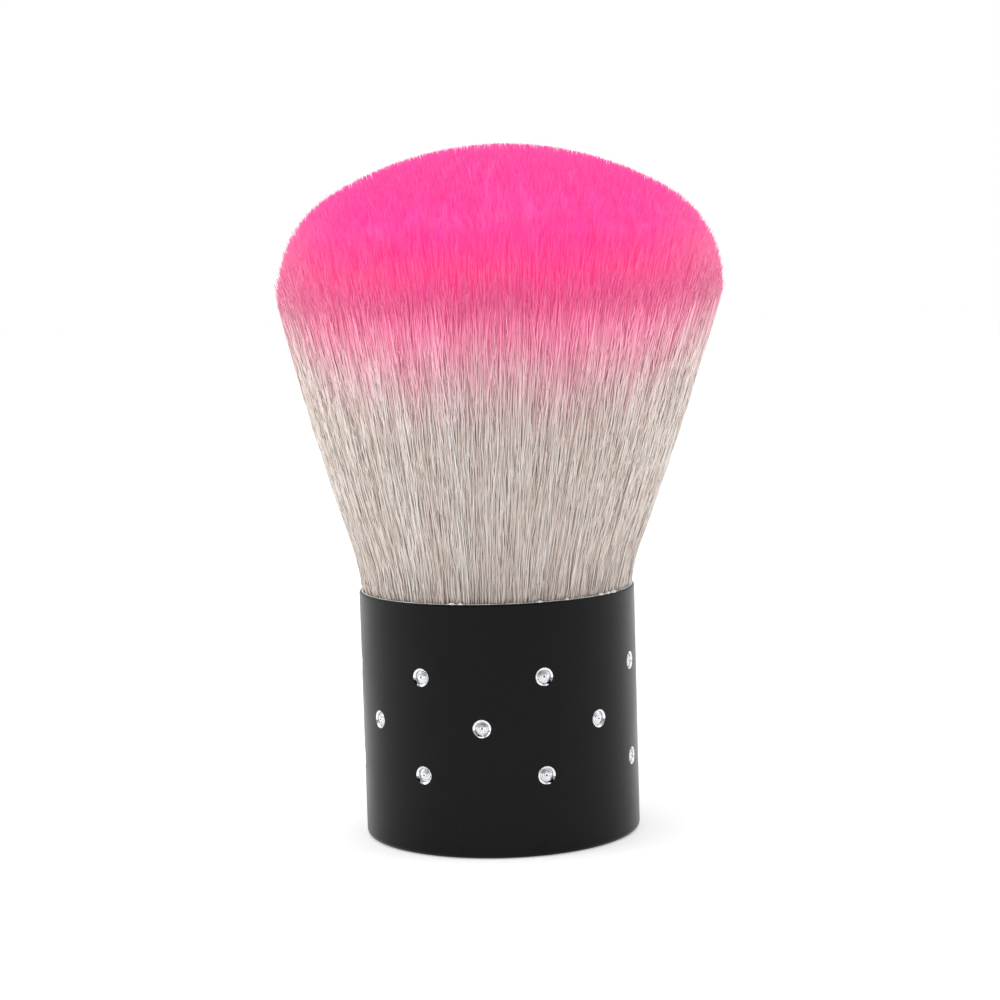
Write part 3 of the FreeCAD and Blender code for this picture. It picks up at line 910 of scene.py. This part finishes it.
    def dye_and_sheen_shift(self, turn: Array) -> Array:
        """How far the dye line is above its height at the front in a direction: partly the dip's own
        line, partly painted sheen towards the sides.

        It is the third power of a sine without its sign, flat at front and back and steep towards
        the sides, with the uneven waves on it.
        """
        uneven = sum(size * np.sin(waves * turn + phase) for size, waves, phase in self.dye_waves)
        return self.dye_and_sheen_rise * (np.abs(np.sin(turn - self.dye_and_sheen_turn)) ** 3 + uneven)

    def lock_shift(self, turn: Array, heights: Array) -> tuple[Array, Array]:
        """Change in direction and in share of the radius that neighbouring filaments share.

        Each set of locks is a sine of (number times direction + slant times height), and the
        in-or-out part is its cosine. Both grow from nothing at the rim.
        """
        free = np.clip((heights - self.rim) / self.lean_height, 0, 1)
        waves = [(number * turn + slant * heights, side, depth)
                 for number, slant, side, depth in self.locks]
        side = sum(side * np.sin(wave) for wave, side, _ in waves)
        depth = sum(depth * (np.cos(wave) - self.lock_pull) for wave, _, depth in waves)
        return side * free, depth * free

    def waves(self, layer: Layer, spread: Array, span: Pair) -> Array:
        """A wave along each line, of its own number of waves and phase, times its spread."""
        along = np.linspace(0, 1, layer.knots)[None, :]
        phase = self.random.uniform(0, TAU, (layer.filaments, 1))
        number = self.random.uniform(*span, (layer.filaments, 1))
        return spread * np.sin(TAU * number * along + phase)

    def paths(self, layer: Layer, share: Array, turn: Array, low: Array, high: Array,
              sunk: Array) -> tuple[Array, Array]:
        """Centre lines of filaments.

        Each runs up its share of the cone from low to high. Its direction drifts steadily, and
        both its direction and its depth waver as sines with their own phases, so that filaments
        cross, surface and dive.

        Args:
            layer: the layer that they belong to.
            share: how far out each filament stands.
            turn: direction of its root.
            low: height of its first knot.
            high: height of its tip.
            sunk: how much share the line loses at its first and at its last knot, as a parabola
                from its middle.

        Returns:
            Points, filament by knot, and the direction of each.
        """
        one_each = (layer.filaments, 1)
        draw = self.random
        along = np.linspace(0, 1, layer.knots)[None, :]
        length = (high - low)[:, None]
        heights = low[:, None] + length * along
        drift = draw.normal(0, layer.tilt, one_each) * length / self.cone(high)[:, None]
        sway = self.waves(layer, draw.normal(0, self.sway, one_each) * layer.stray, self.sway_waves)
        turns = turn[:, None] + drift * along + sway
        spread = np.abs(draw.normal(0, self.dive, one_each)) * layer.stray
        depth = share[:, None] + self.waves(layer, spread, self.dive_waves)
        depth -= (2 * along - 1) ** 2 * np.where(along < 0.5, sunk[:, :1], sunk[:, 1:])
        depth = 1 - np.abs(1 - depth)
        side_shift, depth_shift = self.lock_shift(turns, heights)
        turns = turns + side_shift
        return self.leaned(turns, (depth + depth_shift) * self.cone(heights), heights), turns

    def strands(self, name: str, lines: Lines, material: Material) -> Piece:
        """Three-sided closed tubes along centre lines, as one piece.

        Corner j of a knot stands at centre + r (cos a side + sin a lift), where a is j thirds of
        a turn on from the filament's own angle, side lies level across the filament and lift
        completes a right-handed frame with the direction of the line.

        Args:
            name: the piece's name.
            lines: centre lines and thicknesses.
            material: the filaments' material.

        Returns:
            The piece.
        """
        points, turns = lines.points, lines.turns
        count, knots = points.shape[:2]
        along = unit(np.gradient(points, axis=1))
        side = unit(np.cross(along, facing(turns)))
        lift = np.cross(along, side)
        angles = (self.random.uniform(0, TAU, (count, 1, 1)) + np.arange(3) * (TAU / 3))[..., None]
        ring = np.cos(angles) * side[:, :, None] + np.sin(angles) * lift[:, :, None]
        vertices = (points[:, :, None] + lines.thickness[..., None, None] * ring).reshape(-1, 3)

        numbers = np.arange(count * knots * 3).reshape(count, knots, 3)
        after = np.roll(numbers, -1, axis=2)
        sides = np.stack([numbers[:, :-1], after[:, :-1], after[:, 1:], numbers[:, 1:]], axis=-1)
        caps = np.stack([numbers[:, 0, ::-1], numbers[:, -1]], axis=1)
        corners = np.concatenate([sides.reshape(count, -1), caps.reshape(count, -1)], axis=1)
        face_sides = np.tile([4] * (3 * (knots - 1)) + [3, 3], count)
        mesh = put_mesh(name, vertices, corners.ravel(), face_sides)

        scatter = self.random.normal(0, self.dye_scatter, (count, 1))
        up = self.finish.up_map(points[..., 2] - self.dye_and_sheen_shift(turns) - scatter)
        third = np.arange(3) / 3
        side_across = np.stack([third, third + 1 / 3, third + 1 / 3, third], axis=-1)
        side_up = np.stack([up[:, :-1], up[:, :-1], up[:, 1:], up[:, 1:]], axis=-1)[:, :, None]
        side_across, side_up = (
            np.broadcast_to(places, (count, knots - 1, 3, 4)).reshape(count, -1)
            for places in (side_across, side_up))
        cap_across = np.broadcast_to([0.0, 1.0, 0.5, 0.0, 1.0, 0.5], (count, 6))
        cap_rise = self.finish.cap_rise * np.array([0, 0, 1, 0, 0, 1])
        cap_up = np.repeat(up[:, [0, -1]], 3, axis=1) - cap_rise
        across = self.finish.across_map(
            lines.tint[:, None], np.concatenate([side_across, cap_across], axis=1))
        put_map(mesh, self.finish.map_name, across, np.concatenate([side_up, cap_up], axis=1))
        mesh.materials.append(material)
        return show(mesh)

    def tip_gaps(self, count: int) -> Array:
        """How far under the dome each tip ends: many hardly at all, the others by chance."""
        draw = self.random
        level = np.abs(draw.normal(0, self.level_tips, count))
        short = draw.exponential(self.short_tips, count)
        return np.where(draw.random(count) < self.level_share, level, short)

    def grow(self, layer: Layer, material: Material, share: Array, turn: Array, low: Array,
             high: Array, depth: Array, sunk: Array) -> list[Piece]:
        """Make a layer of filaments, as pieces that are each a sector of the head.

        Args:
            layer: the layer.
            material: the filaments' material.
            share: how far out each filament stands.
            turn: direction of its root, in rising order.
            low: height of its first knot.
            high: height of its tip.
            depth: how far it lies under the surface, which darkens its tint as painted shade.
            sunk: as for paths.

        Returns:
            The pieces.
        """
        draw = self.random
        points, turns = self.paths(layer, share, turn, low, high, sunk)
        shape = np.interp(np.linspace(0, 1, layer.knots), (0, 0.25, 0.75, 1), layer.taper)
        thickness = draw.uniform(*self.thickness, (layer.filaments, 1)) * shape
        clump = draw.uniform(-1, 1, self.clumps)
        clump = self.clump_tint * np.interp(turn, np.linspace(0, TAU, self.clumps), clump)
        # A filament's tint darkens with its depth under the surface: painted shade.
        tint = self.mean_tint + share ** self.side_power * clump - depth / self.painted_shade_depth
        tint += draw.normal(0, self.tint_scatter, layer.filaments)
        lines = Lines(points, turns, thickness, np.clip(tint, 0, 1))
        sectors = np.array_split(np.arange(layer.filaments), layer.pieces)
        return [self.strands(f"{layer.name}_{number}", lines.rows(sector), material)
                for number, sector in enumerate(sectors, start=1)]

    def full_strands(self, material: Material) -> list[Piece]:
        """Filaments of the outer layer from root to tip."""
        count, draw = FULL.filaments, self.random
        share = draw.uniform(self.side_share, self.full_share, count)
        turn = np.sort(draw.uniform(0, TAU, count))
        low = np.full(count, self.root_height)
        high = self.tip_height(share) - self.tip_gaps(count)
        depth = (1 - share) * self.radius
        return self.grow(FULL, material, share, turn, low, high, depth, np.zeros((count, 2)))

    def surfacing_strands(self, material: Material) -> list[Piece]:
        """Stretches of the layers below where a filament comes to the surface and dives again."""
        count, draw = SURFACING.filaments, self.random
        share = draw.uniform(self.surfacing_share, 1, count)
        turn = np.sort(draw.uniform(0, TAU, count))
        # Even cover needs more of them where the cone is wider.
        widest, narrowest = self.cone(self.shoulder_up), self.cone(self.rim)
        spread = np.cbrt(draw.uniform((narrowest / widest) ** 3, 1, count)) * widest
        centre = self.rim + (spread - narrowest) / self.flare
        length = draw.uniform(*self.surfacing_length, count)
        tip = self.tip_height(share) - self.tip_gaps(count)
        low = np.maximum(centre - length / 2, self.root_height)
        high = np.minimum(centre + length / 2, tip)
        tip_sink = np.where(high == tip, 0.0, self.surfacing_sink)
        sunk = np.stack([np.full(count, self.surfacing_sink), tip_sink], axis=1)
        depth = (1 - share) * self.radius
        return self.grow(SURFACING, material, share, turn, low, high, depth, sunk)

    def crown_strands(self, material: Material) -> list[Piece]:
        """Last few millimetres of the inner filaments."""
        count, draw = CROWN.filaments, self.random
        share = draw.uniform(0, 1, count) ** self.crown_crowding
        turn = np.sort(draw.uniform(0, TAU, count))
        gaps = self.tip_gaps(count)
        high = self.tip_height(share) - gaps
        at_side = share ** self.side_power
        low = high - draw.uniform(*self.crown_length, count) * (1 + self.crown_stretch * at_side)
        sunk = np.stack([self.surfacing_sink * at_side, np.zeros(count)], axis=1)
        depth = np.minimum(gaps, self.crown_painted_shade_depth)
        return self.grow(CROWN, material, share, turn, low, high, depth, sunk)

    def core(self, material: Material) -> Piece:
        """Closed body inside the filaments that keeps the gaps between them from showing through.

        Its outline is the head's own, drawn in below the outer layer and the crown's tips. Its tint,
        darker than the filaments', is painted shade.
        """
        heights = np.linspace(self.root_height, self.shoulder_up - self.core_drop, self.core_rows)
        cone = self.cone(heights) - self.core_inset
        radii = np.linspace(cone[-1], 0, self.core_rows)[1:]
        domed = self.dome(np.minimum(radii + self.core_inset, self.radius)) - self.core_sunk
        outline = np.stack([np.concatenate([[0], cone, radii]),
                            np.concatenate([[self.root_height], heights, domed])])
        angles = np.arange(self.core_columns + 1) * (TAU / self.core_columns) % TAU
        turn, grid_r, grid_z = np.broadcast_arrays(angles, *outline[:, :, None])
        points = self.leaned(turn, grid_r, grid_z)
        out = unit(points - (self.rim + self.top) / 2 * UP)
        piece = weld("filament_core", [Patch(points, out)], [material], flat=True)
        mesh = piece.data
        mesh.shade_smooth()
        corners = np.zeros(len(mesh.loops), np.int32)
        mesh.loops.foreach_get("vertex_index", corners)
        places = np.zeros(len(mesh.vertices) * 3)
        mesh.vertices.foreach_get("co", places)
        x, y, z = places.reshape(-1, 3)[corners].T
        tint = np.full(len(corners), self.core_painted_shade_tint)
        put_map(mesh, self.finish.map_name,
                self.finish.across_map(tint, np.arange(len(corners)) % 4 / 3),
                self.finish.up_map(z - self.dye_and_sheen_shift(np.arctan2(x, -y))))
        return piece

    def add(self) -> None:
        """Build the head and let its pieces stand for the CAD bundle."""
        material = self.finish.material()
        pieces = [*self.full_strands(material), *self.surfacing_strands(material),
                  *self.crown_strands(material), self.core(material)]
        for piece in pieces:
            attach(piece, "root")
            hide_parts("bristle_bundle")
            LOG.info("%s: %d faces", piece.name, len(piece.data.polygons))


# --- Adhesive at the rim ---


@dataclass
class RimGlue:
    """Ring of clear adhesive in the cup's mouth that has crept on to the rim here and there."""

    handle: Handle
    columns: int = 480
    # Each point of the ring's outline: how far it is outside the mouth's edge and above it, and
    # how much a drop pushes it out and up, in millimetres and in shares of the drop's size.
    outline: tuple[tuple[float, float, float, float], ...] = (
        (-0.56, -0.94, 0.0, 0.0), (-0.49, -0.94, 0.0, 0.0), (-0.25, -0.46, 0.0, 0.0),
        (-0.03, -0.02, 0.0, 0.0), (0.0, 0.005, 0.6, 0.0), (0.02, 0.01, 1.0, 0.1),
        (0.02, 0.04, 1.0, 0.6), (-0.03, 0.06, 0.4, 1.0), (-0.12, 0.05, 0.0, 0.7),
        (-0.2, 0.0, 0.0, 0.2), (-0.36, -0.4, 0.0, 0.0))
    # Direction and half width in degrees and size in millimetres of each drop.
    drops: tuple[tuple[float, float, float], ...] = (
        (-11, 1.2, 0.2), (-7.5, 0.8, 0.26), (25, 0.7, 0.24), (37, 0.7, 0.3), (55, 1.0, 0.3),
        (60, 0.8, 0.24), (64, 1.4, 0.32), (118, 1.5, 0.22), (171, 1.1, 0.26), (204, 2.2, 0.2),
        (263, 1.3, 0.26))
    # Size in millimetres of the uneven waves, and the number in a turn and phase of each.
    unevenness: float = 0.03
    waves: tuple[tuple[int, float], ...] = ((9, 0), (23, 2), (41, 4))

    def build(self) -> Piece:
        """Make the ring.

        Its outline is turned about +Z, and each point is pushed by the drops' size in that
        direction: bell curves round each drop's own direction, on top of a small uneven wave.
        """
        turn = np.arange(self.columns + 1) % self.columns * (TAU / self.columns)
        size = self.unevenness * sum(np.sin(number * turn + phase) for number, phase in self.waves)
        size = size / len(self.waves)
        for place, width, height in self.drops:
            away = (np.degrees(turn) - place + 180) % 360 - 180
            size = size + height * np.exp(-(away / width) ** 2)
        radii, rise, push_out, push_up = (
            np.array(column + column[:1])[:, None] for column in zip(*self.outline))
        radii = self.handle.mouth + (radii + push_out * size) * MM
        heights = self.handle.height + (rise + push_up * size) * MM
        points = radii[..., None] * facing(turn) + heights[..., None] * UP
        along = np.roll(points[:-1], -1, axis=0) - np.roll(points[:-1], 1, axis=0)
        around = np.roll(points[:-1, :-1], -1, axis=1) - np.roll(points[:-1, :-1], 1, axis=1)
        normals = unit(np.cross(around, along[:, :-1]))
        normals = np.pad(normals, ((0, 1), (0, 1), (0, 0)), mode="wrap")
        return weld("rim_glue", [Patch(points, normals)], [AdhesiveWithPaintedGlints().material()])

    def add(self) -> None:
        """Build the ring and let it stand for its CAD node."""
        piece = self.build()
        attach(piece, "root")
        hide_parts("mouth_glue")
        LOG.info("rim glue: %d faces", len(piece.data.polygons))


# --- Pieces that keep their CAD shape ---


def dress_inner_pieces() -> None:
    """Give the knot cup, resin, thread and stone adhesive, whose CAD meshes stay, their finish."""
    finishes = {
        "knot_cup": MOULDED_ABS,
        "resin_plug": CAST_EPOXY,
        "knot_thread": SPUN_POLYESTER,
        "stone_glue": AdhesiveWithPaintedGlints("clear_stone_adhesive"),
    }
    for node, finish in finishes.items():
        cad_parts[node].material_slots[0].material = finish.material()
    LOG.info("CAD pieces dressed: %d", len(finishes))


# --- Studio ---


@dataclass(frozen=True)
class Softbox:
    """A square soft light that looks at the middle of the brush."""

    name: str
    turn_degrees: float
    elevation_degrees: float
    width: float
    watts: float
    # A flagged light fills the filaments' shade and is kept out of the bright metal.
    mirrored: bool = True
    distance: float = 0.6

    def add(self, aim: Vector) -> None:
        """Put the light in the scene, looking at a point."""
        away = towards(math.radians(self.turn_degrees), math.radians(self.elevation_degrees))
        data = bpy.data.lights.new(self.name, "AREA")
        data.size = self.width
        data.energy = self.watts
        light = bpy.data.objects.new(self.name, data)
        light.location = aim + away * self.distance
        light.visible_glossy = self.mirrored
        light.rotation_mode = "QUATERNION"
        light.rotation_quaternion = away.to_track_quat("Z", "Y")
        bpy.context.scene.collection.objects.link(light)


@dataclass
class Studio:
    """White paper floor, soft lights, a pale surround and the camera."""

    camera_distance: float = 249.3 * MM
    camera_turn: float = math.radians(7.47)
    camera_elevation: float = math.radians(5.64)
    camera_roll: float = math.radians(-1.66)
    camera_lens_mm: float = 88.28
    sensor_mm: float = 36.0
    nearest: float = 10 * MM
    aim_side: float = 0.58 * MM
    aim_height: float = 33.77 * MM
    floor_size: float = 4.0
    floor_glow: float = 0.3
    # The surround's level in front of the brush and behind it, and where the one blends into
    # the other, as the Y of the direction seen.
    surround_levels: Pair = (0.35, 1.0)
    surround_blend: Pair = (-0.8, 0.3)
    # The camera's stand and whoever works it are a dark patch above the camera, which the
    # bright bevels mirror.
    patch_elevation: float = math.radians(36)
    patch_degrees: Pair = (22, 24)
    patch_level: float = 0.01
    softboxes: tuple[Softbox, ...] = (
        Softbox("top_softbox", 0, 75, 0.5, 0.95),
        Softbox("left_softbox", -80, 27, 0.4, 0.5),
        Softbox("right_softbox", 95, 27, 0.4, 0.2),
        Softbox("left_fill", -72, 4, 0.4, 1.9, mirrored=False),
        Softbox("right_fill", 87, 4, 0.4, 1.5, mirrored=False),
        Softbox("front_fill", 7, 10, 0.5, 0.6, mirrored=False),
    )

    def add_camera(self) -> None:
        """Camera that looks down a little at the brush, turned a few degrees about its own line."""
        turn, roll = self.camera_turn, self.camera_roll
        right = Vector((math.cos(turn), math.sin(turn), 0))
        back = towards(turn, self.camera_elevation)
        up = back.cross(right)
        rolled_right = math.cos(roll) * right + math.sin(roll) * up
        rolled_up = -math.sin(roll) * right + math.cos(roll) * up
        aim = right * self.aim_side + Vector((0, 0, self.aim_height))
        data = bpy.data.cameras.new("camera")
        data.lens = self.camera_lens_mm
        data.sensor_width = self.sensor_mm
        data.clip_start = self.nearest
        camera = bpy.data.objects.new("camera", data)
        bpy.context.scene.collection.objects.link(camera)
        turned_by = Matrix((rolled_right, rolled_up, back)).transposed()
        camera.matrix_world = Matrix.Translation(aim + back * self.camera_distance) @ turned_by.to_4x4()
        bpy.context.scene.camera = camera

    def add_floor(self) -> None:
        """Wide sheet of white paper, lit a little from below as on a light table."""
        side = np.linspace(-self.floor_size / 2, self.floor_size / 2, 3)
        across, away = np.meshgrid(side, side, indexing="ij")
        points = np.stack([across, away, np.zeros_like(across)], axis=-1)
        material = MATT_PAPER.material()
        shader = material.node_tree.nodes["Principled BSDF"]
        shader.inputs["Emission Color"].default_value = (1, 1, 1, 1)
        shader.inputs["Emission Strength"].default_value = self.floor_glow
        weld("studio_floor", [Patch(points, np.broadcast_to(UP, points.shape))], [material])

    def add_surround(self) -> None:
        """Pale surround, white behind the brush and dimmer in front of it."""
        world = bpy.data.worlds.new("surround")
        world.use_nodes = True
        tree = world.node_tree
        tree.nodes.clear()
        place = add_node(tree, "TexCoord").outputs["Generated"]
        parts = add_node(tree, "SeparateXYZ", inputs={"Vector": place})
        level = add_node(tree, "MapRange", {"interpolation_type": "SMOOTHSTEP"}, {
            "Value": parts.outputs["Y"],
            "From Min": self.surround_blend[0], "From Max": self.surround_blend[1],
            "To Min": self.surround_levels[0], "To Max": self.surround_levels[1]})
        near = add_node(tree, "VectorMath", {"operation": "DOT_PRODUCT"},
                        {0: place, 1: towards(self.camera_turn, self.patch_elevation)})
        inner, outer = (math.cos(math.radians(angle)) for angle in self.patch_degrees)
        patch = add_node(tree, "MapRange", inputs={
            "Value": near.outputs["Value"], "From Min": outer, "From Max": inner,
            "To Min": 1.0, "To Max": self.patch_level})
        strength = add_node(tree, "Math", {"operation": "MULTIPLY"},
                            {0: level.outputs["Result"], 1: patch.outputs["Result"]})
        background = add_node(tree, "Background", inputs={
            "Color": (1, 1, 1, 1), "Strength": strength.outputs[0]})
        output = add_node(tree, "OutputWorld")
        tree.links.new(background.outputs["Background"], output.inputs["Surface"])
        bpy.context.scene.world = world

    def add(self) -> None:
        """Set the whole studio up."""
        bpy.context.scene.view_settings.view_transform = "Standard"
        self.add_camera()
        self.add_floor()
        self.add_surround()
        for softbox in self.softboxes:
            softbox.add(Vector((0, 0, self.aim_height)))
        LOG.info("studio: %d softboxes", len(self.softboxes))


def main() -> None:
    """Build the brush from the handle out, then the studio."""
    logging.basicConfig(level=logging.INFO, format="%(name)s: %(message)s")
    handle = Handle()
    handle.add()
    Stones(handle).add()
    FilamentHead(handle).add()
    RimGlue(handle).add()
    dress_inner_pieces()
    Studio().add()


if __name__ == "__main__":
    main()
